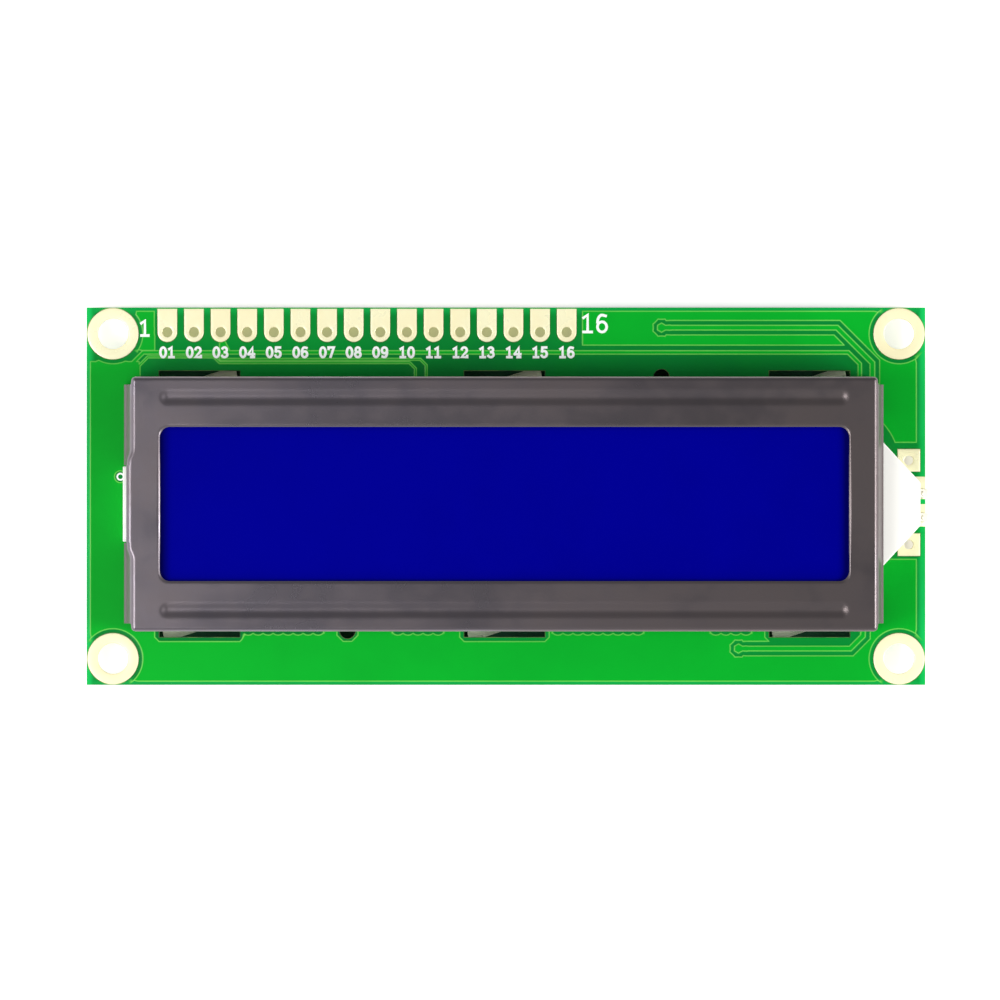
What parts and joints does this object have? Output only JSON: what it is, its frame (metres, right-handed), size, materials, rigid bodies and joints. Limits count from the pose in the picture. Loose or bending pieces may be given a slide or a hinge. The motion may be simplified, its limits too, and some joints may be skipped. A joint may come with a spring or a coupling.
{
  "type": "character lcd module",
  "caption": "Flat display module: a blue window in a dark stamped metal frame with two long beads, on a green circuit board with a header row, corner holes and a side backlight.",
  "frame": {"origin": "centre of the four mounting holes on the rear face of the board's laminate", "axes": "+X along the board from pin 1, +Y towards the header row, +Z out of the window"},
  "size_m": [0.0803, 0.036, 0.0107],
  "materials": {
    "laminate": "woven glass and resin, cut edge",
    "copper": "etched, under the mask",
    "gold_contact": "plated",
    "tinned_copper": "bright tin",
    "green_mask": "glossy green lacquer",
    "dark_steel": "dark satin",
    "blue_film": "smooth blue film",
    "cell_glass": "clear",
    "sealant": "cured resin",
    "connector_rubber": "soft, matt",
    "white_plastic": "moulded, satin",
    "white_film": "white film",
    "clear_acrylic": "polished",
    "lamp_resin": "cast resin",
    "lead_metal": "tinned",
    "solder": "bright",
    "black_resin": "poured resin",
    "black_ceramic": "glazed",
    "tan_ceramic": "fired"
  },
  "bodies": {
    "root": {"backlight_case": "white_plastic", "backlight_led": "lamp_resin", "backlight_pads": "tinned_copper", "bezel": "dark_steel", "capacitor_1": "tan_ceramic", "capacitor_2": "tan_ceramic", "circuit_board": "laminate", "contact_pads": "gold_contact", "controller_drop": "black_resin", "diffuser_sheet": "white_film", "driver_drop": "black_resin", "end_seal": "sealant", "front_copper": "copper", "front_glass": "cell_glass", "front_polarizer": "blue_film", "header_pads": "tinned_copper", "lead_lower": "lead_metal", "lead_solder": "solder", "lead_upper": "lead_metal", "light_guide": "clear_acrylic", "mounting_pads": "tinned_copper", "rear_copper": "copper", "rear_glass": "cell_glass", "rear_polarizer": "blue_film", "rear_solder": "solder", "reflector_sheet": "white_film", "resistor_1": "black_ceramic", "resistor_2": "black_ceramic", "resistor_3": "black_ceramic", "resistor_4": "black_ceramic", "resistor_5": "black_ceramic", "resistor_6": "black_ceramic", "solder_mask_front": "green_mask", "solder_mask_rear": "green_mask", "zebra_strip_bottom": "connector_rubber", "zebra_strip_top": "connector_rubber"}
  },
  "joints": []
}
